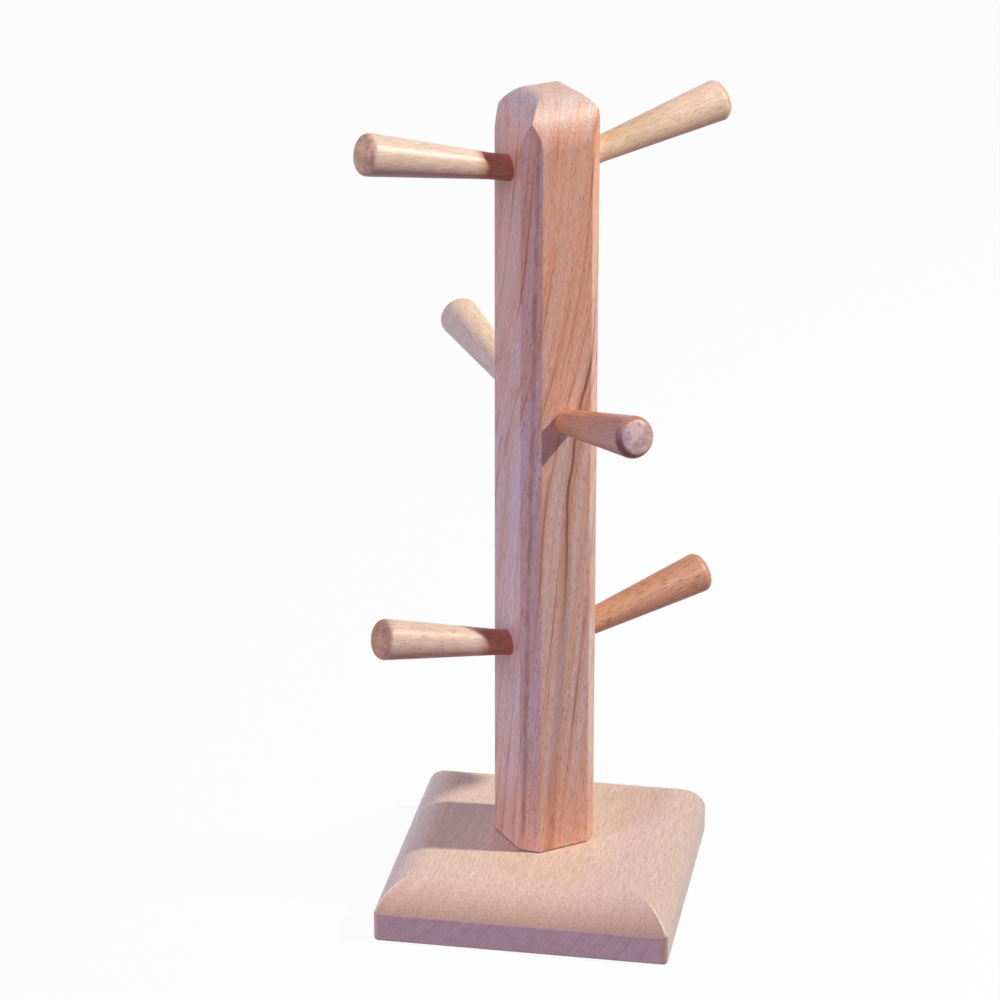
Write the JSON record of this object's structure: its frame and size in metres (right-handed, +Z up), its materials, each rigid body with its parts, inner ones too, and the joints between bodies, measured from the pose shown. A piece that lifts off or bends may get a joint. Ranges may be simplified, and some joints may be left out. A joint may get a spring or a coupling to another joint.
{
  "type": "mug tree",
  "caption": "Free-standing wooden mug tree: square rounded-over base, chamfered upright post that turns on a centre screw, and tapered pegs rising outwards in tiers to hang mugs.",
  "frame": {"origin": "centre of the base's underside, on the axis of the post and its screw", "axes": "+Z up along the post; +X along the base's front edge to the right; -Y towards the front"},
  "size_m": [0.1553, 0.1499, 0.4005],
  "materials": {
    "base_beech": "satin varnish",
    "post_beech": "satin varnish",
    "peg_beech": "satin varnish",
    "zinc_steel": "zinc plated"
  },
  "bodies": {
    "base": {"base": "base_beech", "washer": "zinc_steel"},
    "post": {"post": "post_beech", "peg_upper_left": "peg_beech", "peg_upper_right": "peg_beech", "peg_middle_left": "peg_beech", "peg_middle_right": "peg_beech", "peg_lower_left": "peg_beech", "peg_lower_right": "peg_beech", "centre_screw": "zinc_steel"}
  },
  "joints": [
    {"name": "post_swivel", "type": "hinge", "parent": "base", "child": "post", "pos_m": [0, 0, 0.029], "axis": [0, 0, 1], "continuous": true}
  ]
}
